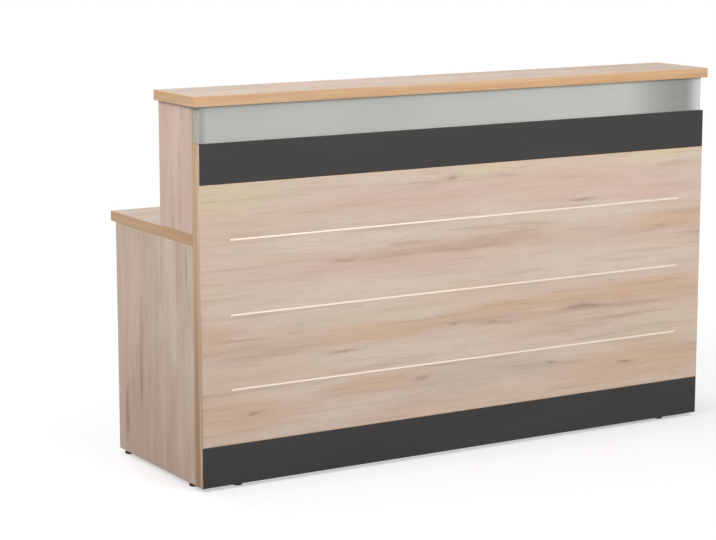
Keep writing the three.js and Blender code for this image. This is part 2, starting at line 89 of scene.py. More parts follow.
# Sockets that share a name with others of their node go by number
MIX_SHARE, MIX_FIRST, MIX_SECOND, MIX_RESULT = 0, 6, 7, 2
NOISE_COLOUR = 1

BODY_OF = {node: body for body, nodes in frame["record"]["behaviour"]["bodies"].items() for node in nodes}
SLOT_OF = {part["node"]: part["material_slot"] for part in frame["record"]["subparts"]}
DRAWERS = ("top", "middle", "file")
SIDES = ("left", "right")
BRACKETS = ("left", "middle", "right")
STRIPS = ("top", "middle", "bottom")
GLIDES = sorted(node for node in BODY_OF if node.startswith("glide_") and "insert" not in node)
BESIDE_FASCIA = ("riser_panel_left", "riser_panel_right")

# Knots of the front's oak, in metres: place along and up the front, half length and half height
FRONT_KNOTS = (
    (-0.722, 0.217, 0.024, 0.009),
    (-0.174, 0.254, 0.050, 0.010),
    (0.614, 0.217, 0.038, 0.008),
    (0.326, 0.250, 0.022, 0.006),
    (0.442, 0.410, 0.090, 0.012),
    (0.087, 0.401, 0.042, 0.008),
    (-0.054, 0.400, 0.020, 0.012),
    (-0.058, 0.866, 0.034, 0.009),
    (0.765, 0.650, 0.045, 0.007),
    (-0.453, 0.372, 0.080, 0.008),
    (-0.425, 0.640, 0.070, 0.007),
    (0.425, 0.763, 0.075, 0.007),
)

# Tinted drifts of the front's oak: colour, then place and half sizes as for the knots
FRONT_DRIFTS = (
    ("straw", -0.84, 0.86, 0.30, 0.075),
    ("straw", 0.05, 0.885, 0.16, 0.030),
    ("straw", 0.75, 0.885, 0.25, 0.030),
    ("rose", -0.25, 0.81, 0.50, 0.055),
    ("rose", 0.40, 0.82, 0.50, 0.055),
    ("rose", 0.72, 0.77, 0.25, 0.045),
    ("grey", -0.45, 0.705, 0.60, 0.045),
    ("grey", 0.50, 0.72, 0.40, 0.040),
    ("rose", -0.30, 0.62, 0.55, 0.060),
    ("dusk", -0.05, 0.655, 0.55, 0.030),
    ("tan", 0.80, 0.665, 0.25, 0.040),
    ("grey", -0.45, 0.54, 0.70, 0.080),
    ("grey", 0.55, 0.56, 0.55, 0.060),
    ("tan", -0.30, 0.415, 0.40, 0.040),
    ("tan", 0.25, 0.435, 0.50, 0.040),
    ("tan", 0.70, 0.45, 0.40, 0.060),
    ("dusk", 0.10, 0.41, 0.25, 0.025),
    ("dusk", 0.55, 0.415, 0.30, 0.022),
    ("dusk", -0.75, 0.40, 0.35, 0.035),
    ("tan", -0.91, 0.45, 0.16, 0.060),
    ("grey", -0.25, 0.345, 0.45, 0.040),
    ("tan", -0.34, 0.255, 0.22, 0.035),
    ("tan", -0.82, 0.21, 0.36, 0.075),
    ("stone", 0.10, 0.24, 0.42, 0.070),
    ("tan", 0.68, 0.21, 0.46, 0.095),
)

# Drifts of the end panels and the risers, whose grain runs upright: height comes first
END_DRIFTS = (
    # The two broad dusk drifts at the foot are painted shade that darkens the end panel towards the floor
    ("dusk", 0.05, 0.02, 0.45, 0.34),
    ("dusk", 0.10, 0.00, 0.40, 0.30),
    ("rose", 0.42, 0.20, 0.36, 0.045),
    ("stone", 0.58, 0.02, 0.22, 0.090),
    ("grey", 0.50, -0.12, 0.26, 0.040),
    ("dusk", 0.30, 0.10, 0.26, 0.040),
    ("rose", 0.26, -0.06, 0.16, 0.045),
    ("rust", 0.29, 0.100, 0.15, 0.014),
    ("rust", 0.12, 0.205, 0.10, 0.018),
    ("rust", 0.64, -0.205, 0.10, 0.008),
)
RISER_DRIFTS = (
    ("rose", 0.95, -0.20, 0.30, 0.040),
    ("rose", 0.85, -0.10, 0.25, 0.030),
)

# Upright boards: the shift of their grain in the oak print, their ground colour and drifts,
# the way along X that the covers of their cam fittings face, and how many of these there are
UPRIGHTS = {
    "end_panel_left": (17.0, "fawn", END_DRIFTS, 1, 3),
    "end_panel_right": (97.0, "fawn", (), -1, 3),
    "riser_panel_left": (83.0, "rose", RISER_DRIFTS, 1, 2),
    "riser_panel_right": (19.0, "rose", RISER_DRIFTS, -1, 2),
    "riser_divider": (89.0, "rose", (), -1, 2),
    "pedestal_gable": (47.0, "fawn", (), -1, 3),
}

# Noises of the oak print: features per metre along and across the grain, seed and detail,
# and the features per metre through the board, which are the same for all
OAK_NOISES = {
    "sway": (5.0, 16.0, 3.0, 4.0),
    "rose": (1.7, 9.0, 11.0, 3.0),
    "straw": (1.2, 8.0, 23.0, 3.0),
    "grey": (2.0, 14.0, 37.0, 3.0),
    "tan": (1.4, 11.0, 53.0, 3.0),
    "streaks": (2.6, 44.0, 31.0, 5.0),
    "fine_streaks": (6.0, 120.0, 67.0, 4.0),
    "fibres": (9.0, 360.0, 43.0, 3.0),
    "hairs": (14.0, 900.0, 71.0, 2.0),
    "pores": (36.0, 1900.0, 59.0, 1.0),
}
THROUGH_BOARD = 24.0

# Levels of those noises at which a mark starts to show and at which it is full
CLOUD_LEVELS = (0.46, 0.66)
OAK_LEVELS = {
    "dark_streaks": (0.50, 0.72),
    "light_streaks": (0.48, 0.28),
    "fine_streaks": (0.48, 0.74),
    "hairs": (0.50, 0.70),
    "pores": (0.60, 0.67),
}

# Strengths of the clouds, of the drifts and of each other mark
CLOUD_STRENGTHS = {"rose": 0.5, "straw": 0.2, "grey": 0.5, "tan": 0.3}
DRIFT_STRENGTH = 0.75
LIGHT_STREAKS, DARK_STREAKS, GROWTH_LINES, FINE_STREAKS = 0.45, 0.20, 0.14, 0.16
HAIRS, PORES = 0.16, 0.26
KNOT_GROUND, KNOT_FIGURE, KNOT_LIMIT, KNOT_TRAIL = 0.10, 0.5, 0.5, 0.14

# How far the grain sways, in metres, and its growth lines, in radians per metre and at a knot
SWAY_ALONG, SWAY_ACROSS = 0.16, 0.05
LINE_TURNS, KNOT_TURNS = 210.0, 1.6

# Full cores of drifts and knots, and a knot's trail, as multiples of the spot's half sizes
DRIFT_CORE, KNOT_CORE = 0.3, 0.1
TRAIL_LENGTH, TRAIL_HEIGHT = 3.0, 1.8

# Relief of the oak print
FIBRE_RISE, PORE_DEPTH, HAIR_DEPTH = 0.5, 0.7, 0.3

# Printed grain of the edge tapes: scale beside the fibres, seed, detail, levels and strength of each mark
TAPE_MARKS = {
    "fibres": (1.0, 0.0, 4.0, (0.38, 0.72), 0.26),
    "clouds": (0.12, 7.0, 3.0, (0.45, 0.65), 0.16),
    "hairs": (6.0, 5.0, 2.0, (0.50, 0.70), 0.14),
    "pale": (0.3, 13.0, 3.0, (0.45, 0.65), 0.3),
}
TAPE_ALONG, TAPE_ACROSS = 3.0, 150.0
# Height in metres below which painted shade deepens the edge tapes towards the floor
TAPE_SHADE_FROM = 0.8

# Painted light and shade on the fascia, in metres from its right end: the two slopes of a stretch of painted
# light and of a band of painted shade, and the painted highlight at the right end
LIT_STRETCH_RISE, LIT_STRETCH_FALL = (1.009, 0.509), (0.209, 0.329)
SHADE_BAND_RISE, SHADE_BAND_FALL = (0.309, 0.089), (0.019, 0.064)
GLINT_END = (0.043, 0.004)
# The two slopes of the shade at the fascia's left corner, in metres from its left end
CORNER_RISE, CORNER_FALL = (-0.0002, 0.0018), (0.024, 0.006)

# Round heads: the wall and the recess as shares of the rise, the top and its inset as shares of the radius
HEAD_WALL, HEAD_TOP = 0.55, 0.78
RECESS_INSET, RECESS_DEPTH = 0.38, 0.6

# Softboxes: place and diameter in metres, and whether shiny faces mirror them
SOFTBOXES = {
    "front_softbox": ((0.9, -3.9, 2.6), 3.4, True),
    "left_softbox": ((-3.5, -1.0, 2.7), 2.0, True),
    "top_softbox": ((0.2, 0.2, 4.2), 3.2, True),
    "back_softbox": ((-0.6, 4.2, 2.4), 2.6, False),
}
LAMP_AIM = Vector((0, 0, 0.55))

# Studio, in metres: half the floor, where shadows start to fade and are gone, the camera's place and reach
FLOOR_HALF = 60.0
SHADOW_FADE = (1.0, 2.4)
CAMERA_PLACE = (-3.7475, -5.8405, 1.7558)
CAMERA_REACH = 200.0
# The least share of plain white in the floor, right under the desk
NEAR_WHITE = 0.45
WHITE = (1, 1, 1, 1)


def linear_light(value):
    """The share of light behind one display value between 0 and 1."""
    return value / 12.92 if value <= 0.04045 else ((value + 0.055) / 1.055) ** 2.4


def colour(name, description, red, green, blue):
    """A colour property, given as the 8-bit numbers that a picture shows."""
    linear = [linear_light(value / 255) for value in (red, green, blue)]
    return FloatVectorProperty(
        name=name, description=description, subtype="COLOR", size=3, min=0.0, max=1.0, default=linear
    )


def length(name, description, millimetres):
    """A size property in metres, given in millimetres."""
    return FloatProperty(
        name=name, description=description, subtype="DISTANCE", min=0.0, default=millimetres * MM
    )


def angle(name, description, degrees):
    """An angle property, given in degrees."""
    return FloatProperty(name=name, description=description, subtype="ANGLE", default=math.radians(degrees))


def power(name, description, watts):
    """A lamp's power property."""
    return FloatProperty(name=name, description=description, unit="POWER", min=0.0, default=watts)


class DeskColours(PropertyGroup):
    """Colours of the desk's finishes."""

    oak_sand: colour("Oak sand", "Ground colour of the oak", 214, 193, 178)
    oak_stone: colour("Oak stone", "Ground colour of the tops, and cool drifts", 200, 183, 169)
    oak_fawn: colour("Oak fawn", "Ground colour of the end panels and the gable", 207, 184, 167)
    oak_rose: colour("Oak rose", "Pink drifts, and ground colour of the risers", 215, 184, 171)
    oak_straw: colour("Oak straw", "Yellow drifts", 215, 199, 165)
    oak_grey: colour("Oak grey", "Grey drifts", 219, 202, 188)
    oak_tan: colour("Oak tan", "Tan drifts", 211, 178, 148)
    oak_dusk: colour("Oak dusk", "Brown drifts", 196, 166, 149)
    oak_rust: colour("Oak rust", "Red-brown marks", 168, 128, 110)
    oak_light: colour("Oak light", "Pale streaks", 222, 200, 184)
    oak_grain: colour("Oak grain", "Grain lines, hairs and pores", 160, 131, 110)
    oak_knot: colour("Oak knot", "Knots", 122, 95, 75)
    tape_grain: colour("Tape grain", "Printed grain of the edge tapes", 157, 114, 76)
    honey: colour("Honey tape", "Edge band of the counter", 213, 169, 125)
    # The counter's honey tape made darker for the worktop's band: painted shade
    shaded_honey: colour("Deep honey tape", "Edge band of the worktop", 195, 150, 109)
    tan: colour("Tan tape", "Edge tape of the oak boards", 200, 161, 126)
    light_tape: colour("Light tape", "Edge tape at the ends of the front's cladding", 214, 184, 156)
    # A pale edge, raised near white to offset the shade of the recess beside the fascia: partly painted light
    pale_tape: colour("Pale tape", "Front edges of the risers, beside the fascia", 248, 240, 224)
    pale_grey: colour("Pale grey", "Laminate of the fascia", 182, 184, 177)
    # A lit copy of the fascia's laminate for its returns: painted light
    lit_pale_return: colour("Pale return", "Laminate of the fascia's returns", 188, 184, 167)
    # White of the fascia's painted highlight and painted light
    glint_white: colour("Pale end", "Bright right end of the fascia", 250, 250, 250)
    charcoal: colour("Charcoal", "Laminate of the upper band and the plinth", 49, 48, 47)
    charcoal_bloom: colour("Charcoal bloom", "Pearl, clouds and dust on the charcoal laminate", 188, 184, 181)
    aluminium: colour("Aluminium", "Inlay strips", 240, 225, 214)
    zinc: colour("Zinc", "Plated brackets, inserts and screws", 190, 194, 198)
    nickel: colour("Nickel", "Drawer handles", 200, 197, 192)
    grey_paint: colour("Grey paint", "Powder coat of the drawer bodies", 142, 145, 148)
    nylon: colour("Nylon", "Drawer runners", 214, 213, 206)
    black: colour("Black plastic", "Glides and cable grommets", 24, 24, 25)
    floor: colour("Floor", "Studio floor as it is seen", 250, 250, 250)
    floor_bounce: colour("Floor bounce", "Studio floor as it lights the desk", 135, 135, 135)


class DeskSizes(PropertyGroup):
    """Sizes of the details that the desk's frame leaves to its finish."""

    tape_border: length("Tape border", "Edge tape that shows on a board's face", 1.0)
    fine_round: length("Fine rounding", "Rounding of strips, grommets and folded steel", 0.3)
    fitting_round: length("Fitting rounding", "Rounding of glides", 0.6)
    glide_chamfer: length("Glide chamfer", "Chamfer under a glide's pad", 2.0)
    glide_collar_radius: length("Glide collar", "Radius of a glide's collar", 9.0)
    glide_collar_height: length("Glide collar height", "Height of a glide's collar", 2.5)
    glide_stem_radius: length("Glide stem", "Radius of a glide's stem", 4.0)
    glide_stem_length: length("Glide stem length", "Length of a glide's stem", 24.0)
    handle_bend: length("Handle bend", "Radius of a handle's bends, on the bar's axis", 14.0)
    screw_radius: length("Screw radius", "Radius of a screw's head", 4.3)
    screw_rise: length("Screw rise", "Height of a screw's head", 2.4)
    bracket_sheet: length("Bracket sheet", "Thickness of a bracket's steel", 3.0)
    bracket_spacing: length("Bracket spacing", "Distance between a bracket's screws", 28.0)
    bracket_drop: length("Bracket drop", "A bracket's screws from its bend", 25.0)
    drawer_sheet: length("Drawer sheet", "Thickness of a drawer body's steel", 1.2)
    drawer_screw_inset: length("Drawer screw inset", "Drawer front's screws from the body's edges", 30.0)
    cover_radius: length("Cover radius", "Radius of a cam fitting's cover", 8.5)
    cover_rise: length("Cover rise", "Height of a cam fitting's cover", 0.9)
    cover_edge: length("Cover edge", "Covers from a board's jointed edge", 34.0)
    cover_end: length("Cover end", "Covers from a board's ends", 85.0)
    liner_wall: length("Liner wall", "Wall of a grommet's sleeve", 2.2)
    liner_ledge: length("Liner ledge", "Ledge that carries a grommet's cap", 2.0)
    liner_chamfer: length("Liner chamfer", "Chamfer on the rim of a grommet's liner", 1.6)
    liner_gap: length("Liner gap", "Gap between a grommet's sleeve, its cap and its bore", 0.3)
    liner_seat: length("Liner seat", "Joint line under the rim of a grommet's liner", 0.2)
    grommet_bore: length("Grommet bore", "Radius of the worktop's cable holes", 30.0)
    slot_radius: length("Slot radius", "Radius of the cable slot's round end", 8.0)
    slot_reach: length("Slot reach", "Slot's round end from the cap's middle", 12.0)
    round_steps: IntProperty(name="Round steps", description="Steps in a turned piece", default=48, min=12)


class DeskStudio(PropertyGroup):
    """Camera and light of the studio."""

    camera_place: FloatVectorProperty(
        name="Camera place", description="Where it stands", subtype="TRANSLATION", default=CAMERA_PLACE
    )
    camera_turn: angle("Camera turn", "Turn of the view from straight ahead to the right", 31.203)
    camera_tilt: angle("Camera tilt", "Tilt of the view below level", 10.044)
    camera_lens: FloatProperty(
        name="Lens", description="Focal length", subtype="DISTANCE_CAMERA", min=1.0, default=111.464
    )
    sky: FloatProperty(
        name="Sky", description="Light from all round", subtype="FACTOR", min=0.0, max=1.0, default=0.40
    )
    front_softbox: power("Front softbox", "Softbox in front of the desk", 129)
    left_softbox: power("Left softbox", "Softbox at the desk's left", 70)
    top_softbox: power("Top softbox", "Softbox over the desk", 8)
    back_softbox: power("Back softbox", "Softbox behind the desk", 140)


class Shade:
    """An output socket of a node tree. Python's operators on it add Math nodes."""

    def __init__(self, tree, socket=None):
        self.tree = tree
        self.socket = socket

    def node(self, kind, settings=None, inputs=None, output=0):
        """Adds any node: its settings first, then the values or links of its sockets."""
        made = self.tree.nodes.new(kind)
        for name, value in (settings or {}).items():
            setattr(made, name, value)
        for key, value in (inputs or {}).items():
            if isinstance(value, Shade):
                self.tree.links.new(value.socket, made.inputs[key])
            else:
                made.inputs[key].default_value = value
        return Shade(self.tree, made.outputs[output])

    def output(self, key):
        """Another output of the same node."""
        return Shade(self.tree, self.socket.node.outputs[key])

    def feed(self, node, key):
        """Links this output to a node's input."""
        self.tree.links.new(self.socket, node.inputs[key])

    def math(self, operation, *values):
        """A Math node on this value and others."""
        return self.node("ShaderNodeMath", {"operation": operation}, dict(enumerate((self, *values))))

    def __add__(self, other):
        return self.math("ADD", other)

    def __sub__(self, other):
        return self.math("SUBTRACT", other)

    def __rsub__(self, other):
        return (self * -1.0).math("ADD", other)

    def __mul__(self, other):
        return self.math("MULTIPLY", other)

    __radd__ = __add__
    __rmul__ = __mul__

    def rise(self, low, high):
        """A smooth step from 0 at low to 1 at high."""
        inputs = {"Value": self, "From Min": low, "From Max": high}
        return self.node("ShaderNodeMapRange", {"interpolation_type": "SMOOTHSTEP"}, inputs)

    def axis(self, axis):
        """One of the three parts of these coordinates."""
        return self.node("ShaderNodeSeparateXYZ", inputs={0: self}, output=axis)

    def reach(self):
        """The distance of these coordinates from zero."""
        return self.node("ShaderNodeVectorMath", {"operation": "LENGTH"}, {0: self}, output="Value")

    def moved(self, scale, shift):
        """These coordinates, scaled and then moved."""
        return self.node("ShaderNodeMapping", inputs={"Vector": self, "Scale": scale, "Location": shift})

    def noise(self, *scale, seed=0.0, detail=3.0):
        """Noise with one number of features per metre, or one for each axis."""
        place = self.moved(scale if len(scale) == 3 else scale * 3, [seed] * 3)
        return self.node("ShaderNodeTexNoise", inputs={"Vector": place, "Scale": 1.0, "Detail": detail})

    def blend(self, share, first, second):
        """A colour between two, by share."""
        inputs = {MIX_SHARE: share}
        for key, end in ((MIX_FIRST, first), (MIX_SECOND, second)):
            inputs[key] = end if isinstance(end, Shade) else (*end, 1.0)
        return self.node("ShaderNodeMix", {"data_type": "RGBA"}, inputs, output=MIX_RESULT)

    def roughen(self, surface, base, spread):
        """Makes a surface rougher than base by spread times this value."""
        (base + self * spread).feed(surface, "Roughness")

    def emboss(self, surface, strength, depth):
        """Presses these heights into a surface, depth metres from low to high."""
        inputs = {"Strength": strength, "Distance": depth, "Height": self}
        self.node("ShaderNodeBump", inputs=inputs).feed(surface, "Normal")


def colours():
    """The desk's colours."""
    return bpy.context.scene.desk_colours


def sizes():
    """The desk's fine sizes."""
    return bpy.context.scene.desk_sizes


def started(name):
    """A new material, its surface node and its Object coordinates."""
    material = bpy.data.materials.new(name)
    material.use_nodes = True
    surface = material.node_tree.nodes["Principled BSDF"]
    place = Shade(material.node_tree).node("ShaderNodeTexCoord", output="Object")
    return material, surface, place


class OakGrain:
    """The noises and spots of the oak print on one board, stretched along its grain."""

    def __init__(self, place, along, across, shift, spread):
        self.place = place
        self.along = along
        self.across = across
        self.shift = shift
        self.spread = spread
        self.sway = self.vector(0.0, SWAY_ALONG, SWAY_ACROSS)
        inputs = {0: self.noise("sway").output(NOISE_COLOUR), 1: self.sway, 2: place}
        self.wavy = place.node("ShaderNodeVectorMath", {"operation": "MULTIPLY_ADD"}, inputs)

    def vector(self, through, along, across):
        """A vector from its parts through the board, along the grain and across it."""
        parts = [through] * 3
        parts[self.along] = along
        parts[self.across] = across
        return parts

    def noise(self, name):
        """One of the print's noises."""
        along, across, seed, detail = OAK_NOISES[name]
        scale = self.vector(THROUGH_BOARD, along, across / self.spread)
        return self.place.noise(*scale, seed=self.shift + seed, detail=detail)

    def spot(self, run, rise, half_length, half_height, core):
        """A soft ellipse on the wavy grain: 1 in its core, 0 past its edge."""
        run = run + self.sway[self.along] / 2
        rise = rise + self.sway[self.across] / 2
        scale = self.vector(0.0, 1 / half_length, 1 / half_height)
        shift = self.vector(0.0, -run / half_length, -rise / half_height)
        return self.wavy.moved(scale, shift).reach().rise(1.0, core)


def oak(
    name, along, across, shift=0.0, ground="sand",
    drifts=(), knots=(), contrast=1.0, spread=1.0, gloss=0.3,
):
    """Oak print with its grain along one axis: clouds, drifts, streaks, growth lines, pores and knots."""
    material, surface, place = started(name)
    palette = colours()
    grain = OakGrain(place, along, across, shift, spread)

    tone = getattr(palette, f"oak_{ground}")
    for tint, strength in CLOUD_STRENGTHS.items():
        share = grain.noise(tint).rise(*CLOUD_LEVELS) * (strength * contrast)
        tone = place.blend(share, tone, getattr(palette, f"oak_{tint}"))
    for tint, run, rise, half_length, half_height in drifts:
        share = grain.spot(run, rise, half_length, half_height, DRIFT_CORE) * DRIFT_STRENGTH
        tone = place.blend(share, tone, getattr(palette, f"oak_{tint}"))

    knot = 0.0
    trail = 0.0
    for run, rise, half_length, half_height in knots:
        knot = knot + grain.spot(run, rise, half_length, half_height, KNOT_CORE)
        half_trail = (half_length * TRAIL_LENGTH, half_height * TRAIL_HEIGHT)
        trail = trail + grain.spot(run, rise, *half_trail, KNOT_CORE)

    streaks = grain.noise("streaks")
    fine = grain.noise("fine_streaks")
    fibres = grain.noise("fibres")
    hairs = grain.noise("hairs").rise(*OAK_LEVELS["hairs"])
    pores = grain.noise("pores").rise(*OAK_LEVELS["pores"])
    turns = grain.wavy.axis(across) * LINE_TURNS + trail * KNOT_TURNS
    lines = turns.math("SINE").rise(0.0, 1.0)

    light = streaks.rise(*OAK_LEVELS["light_streaks"]) * LIGHT_STREAKS
    dark = streaks.rise(*OAK_LEVELS["dark_streaks"]) * (DARK_STREAKS + lines * GROWTH_LINES)
    fine_dark = fine.rise(*OAK_LEVELS["fine_streaks"]) * FINE_STREAKS
    depth = (dark + fine_dark + trail * KNOT_TRAIL) * contrast + hairs * HAIRS + pores * PORES
    tone = place.blend(light, tone, palette.oak_light)
    tone = place.blend(depth, tone, palette.oak_grain)
    if knots:
        share = (knot * (KNOT_GROUND + fine * KNOT_FIGURE)).math("MINIMUM", KNOT_LIMIT)
        tone = place.blend(share, tone, palette.oak_knot)
    tone.feed(surface, "Base Color")
    fibres.roughen(surface, base=0.36, spread=0.18)
    relief = fibres * FIBRE_RISE - pores * PORE_DEPTH - hairs * HAIR_DEPTH
    relief.emboss(surface, strength=0.35, depth=0.25 * MM)
    surface.inputs["Specular IOR Level"].default_value = gloss
    return material


def edge_tape(name, tint, upright, floor_shade=0.0):
    """Plastic edge tape, its printed grain upright or level, with painted shade that deepens it towards the
    floor if asked.
    """
    material, surface, place = started(name)
    side, height = (TAPE_ACROSS, TAPE_ALONG) if upright else (TAPE_ALONG, TAPE_ACROSS)
    noises = {}
    shares = {}
    for mark, (scale, seed, detail, levels, strength) in TAPE_MARKS.items():
        noises[mark] = place.noise(side * scale, side * scale, height * scale, seed=seed, detail=detail)
        shares[mark] = noises[mark].rise(*levels) * strength
    grain = shares["fibres"] + shares["clouds"] + shares["hairs"]
    # Painted shade: the tape darkens towards the floor
    if floor_shade:
        grain = grain + place.axis(Z).rise(TAPE_SHADE_FROM, 0.0) * floor_shade
    tone = place.blend(shares["pale"], tint, colours().oak_straw)
    place.blend(grain, tone, colours().tape_grain).feed(surface, "Base Color")
    noises["fibres"].roughen(surface, base=0.34, spread=0.16)
    noises["fibres"].emboss(surface, strength=0.2, depth=0.1 * MM)
    return material


def charcoal_laminate():
    """Dark laminate with a fine pearled face, faint cloudy patches and dust."""
    material, surface, place = started("charcoal_laminate")
    pearl = place.noise(900.0, detail=2.0)
    clouds = place.noise(2.0, 6.0, 9.0)
    dust = place.noise(260.0, seed=3.0, detail=2.0)
    cloud_share, pearl_share, dust_share = 0.012, 0.012, 0.03
    bloom = clouds.rise(0.35, 0.70) * cloud_share + pearl * pearl_share + dust.rise(0.62, 0.80) * dust_share
    place.blend(bloom, colours().charcoal, colours().charcoal_bloom).feed(surface, "Base Color")
    pearl.roughen(surface, base=0.46 + clouds * 0.06, spread=0.14)
    pearl.emboss(surface, strength=0.25, depth=0.12 * MM)
    surface.inputs["Specular IOR Level"].default_value = 0.25
    return material


def pale_laminate(name, tint, corner_shade_share):
    """Pale satin laminate, faintly brushed; painted light and highlight to its right, painted shade near its
    ends.
    """
    material, surface, place = started(name)
    low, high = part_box("fascia_panel")
    run = place.axis(X)
    from_left = run - low.x
    from_right = high.x - run
    brush = place.noise(4.0, 300.0, 700.0)
    clouds = place.noise(2.2, 4.0, 5.0, detail=2.0)
    # Painted shade in the band near the right end and at the left corner, painted light over the stretch
    band = from_right.rise(*SHADE_BAND_RISE) * from_right.rise(*SHADE_BAND_FALL)
    corner = from_left.rise(*CORNER_RISE) * from_left.rise(*CORNER_FALL)
    lit_stretch = from_right.rise(*LIT_STRETCH_RISE) * from_right.rise(*LIT_STRETCH_FALL)
    brush_share, cloud_share, shade_band_share = 0.05, 0.07, 0.42
    glint_share, lit_stretch_share = 0.3, 0.10
    depth = brush.rise(0.35, 0.70) * brush_share + clouds.rise(0.40, 0.65) * cloud_share
    depth = depth + band * shade_band_share + corner * corner_shade_share
    tone = place.blend(depth, tint, colours().charcoal)
    # Painted light over the stretch and a painted highlight at the right end
    pale = from_right.rise(*GLINT_END) * glint_share + lit_stretch * lit_stretch_share
    place.blend(pale, tone, colours().glint_white).feed(surface, "Base Color")
    brush.roughen(surface, base=0.32, spread=0.18)
    brush.emboss(surface, strength=0.15, depth=0.08 * MM)
    return material


def metal(name, tint, brushing, roughness, patches=0.0):
    """Bare or plated metal, brushed along the axis with the smallest scale, with cloudy patches if asked."""
    material, surface, place = started(name)
    brush = place.noise(*brushing)
    clouds = place.noise(120.0, seed=5.0)
    brush_share = 0.10
    shade = brush.rise(0.35, 0.70) * brush_share + clouds.rise(0.40, 0.65) * patches
    place.blend(shade, tint, colours().charcoal).feed(surface, "Base Color")
    surface.inputs["Metallic"].default_value = 1.0
    brush.roughen(surface, base=roughness + clouds * patches, spread=0.14)
    brush.emboss(surface, strength=0.15, depth=0.05 * MM)
    return material


def plastic(name, tint, roughness, grit=700.0, speck=0.08, specks="charcoal"):
    """Moulded plastic or powder coat: a fine gritty face with a faint mottle."""
    material, surface, place = started(name)
    face = place.noise(grit, detail=2.0)
    mottle = place.noise(40.0, seed=9.0)
    mottle_share = 0.6 * speck
    shade = face.rise(0.40, 0.75) * speck + mottle.rise(0.40, 0.70) * mottle_share
    place.blend(shade, tint, getattr(colours(), specks)).feed(surface, "Base Color")
    face.roughen(surface, base=roughness, spread=0.16)
    face.emboss(surface, strength=0.3, depth=0.08 * MM)
    return material


def middle(node, height):
    """The point at a height over the middle of a node."""
    low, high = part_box(node)
    return Vector(((low.x + high.x) / 2, (low.y + high.y) / 2, height))


def only(kind, items):
    """The items of one bmesh kind."""
    return [item for item in items if isinstance(item, kind)]


def copied(node):
    """A node's mesh, its loose triangles merged into whole faces."""
    bm = bmesh.new()
    bm.from_mesh(frame["nodes"][node].data)
    bmesh.ops.remove_doubles(bm, verts=bm.verts, dist=WELD)
    bmesh.ops.dissolve_limit(bm, angle_limit=FLAT, verts=bm.verts, edges=bm.edges)
    return bm


def softened(bm, width):
    """Rounds every sharp edge of a bmesh."""
    corners = [edge for edge in bm.edges if len(edge.link_faces) == 2 and edge.calc_face_angle() > SHARP]
    style = {"affect": "EDGES", "segments": 2, "profile": 0.5, "material": -1, "clamp_overlap": True}
    bmesh.ops.bevel(bm, geom=corners, offset=width, **style)
    return bm


def linked(name, data):
    """A new object in the scene."""
    item = bpy.data.objects.new(name, data)
    bpy.context.scene.collection.objects.link(item)
    return item


def meshed(name, bm, materials):
    """A new object in the shape of a bmesh."""
    mesh = bpy.data.meshes.new(name)
    bm.to_mesh(mesh)
    bm.free()
    for material in materials:
        mesh.materials.append(material)
    return linked(name, mesh)


def added(name, bm, materials, body, slot):
    """A piece from a bmesh, smooth but for its sharp edges, riding on a body."""
    for face in bm.faces:
        face.smooth = True
    for edge in bm.edges:
        edge.smooth = len(edge.link_faces) == 2 and edge.calc_face_angle() < SHARP
    piece = meshed(name, bm, materials)
    piece.modifiers.new("Flat faces", "WEIGHTED_NORMAL").keep_sharp = True
    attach(piece, body)
    return piece


def stand_in(node, bm, materials):
    """A piece that stands for a node, on the node's own body."""
    piece = added(f"{node}_finished", bm, materials, BODY_OF[node], SLOT_OF[node])
    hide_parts(node)


def refinished(node, material, rounding=0.0):
    """A node in its own shape, its sharp edges rounded if asked."""
    bm = copied(node)
    stand_in(node, softened(bm, rounding) if rounding else bm, [material])


def dress_board(node, axis, laminate, tape, border=True, front_tape=None):
    """A board with laminate on its wide faces, tape on its edges and, if asked, another tape in front."""
    on_face, on_edge, on_front = range(3)
    planes = [corner[axis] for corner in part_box(node)]
    bm = copied(node)
    wide = []
    for face in bm.faces:
        face.material_index = on_edge
        off_plane = min(abs(face.calc_center_median()[axis] - plane) for plane in planes)
        if abs(face.normal[axis]) > FACING and off_plane < WELD:
            face.material_index = on_face
            wide.append(face)
    if border:
        ring = bmesh.ops.inset_region(bm, faces=wide, thickness=sizes().tape_border, use_even_offset=True)
        for face in ring["faces"]:
            face.material_index = on_edge
    materials = [laminate, tape]
    if front_tape:
        materials.append(front_tape)
        for face in bm.faces:
            if face.normal.y < -FACING:
                face.material_index = on_front
    stand_in(node, bm, materials)


def spun(profile, place):
    """A turned piece about an upright axis, from its (radius, height) profile."""
    bm = bmesh.new()
    points = [bm.verts.new((radius, 0.0, height)) for radius, height in profile]
    edges = [bm.edges.new(pair) for pair in zip(points, points[1:])]
    steps = sizes().round_steps
    bmesh.ops.spin(
        bm, geom=points + edges, cent=(0, 0, 0), axis=UPWARD, angle=math.tau, steps=steps, use_merge=True
    )
    bmesh.ops.remove_doubles(bm, verts=bm.verts, dist=WELD)
    bmesh.ops.recalc_face_normals(bm, faces=bm.faces)
    bmesh.ops.translate(bm, verts=bm.verts, vec=place)
    return bm


def with_edges(faces):
    """Faces and their edges: an extrusion of both leaves no face behind inside the piece."""
    return faces + list({edge for face in faces for edge in face.edges})


def corners_of(faces):
    """The corners of faces, each once."""
    return list({corner for face in faces for corner in face.verts})


def pushed(bm, faces, offset):
    """Extrudes faces by an offset and gives the new end faces."""
    grown = bmesh.ops.extrude_face_region(bm, geom=with_edges(faces))["geom"]
    ends = only(bmesh.types.BMFace, grown)
    bmesh.ops.translate(bm, verts=corners_of(ends), vec=offset)
    return ends


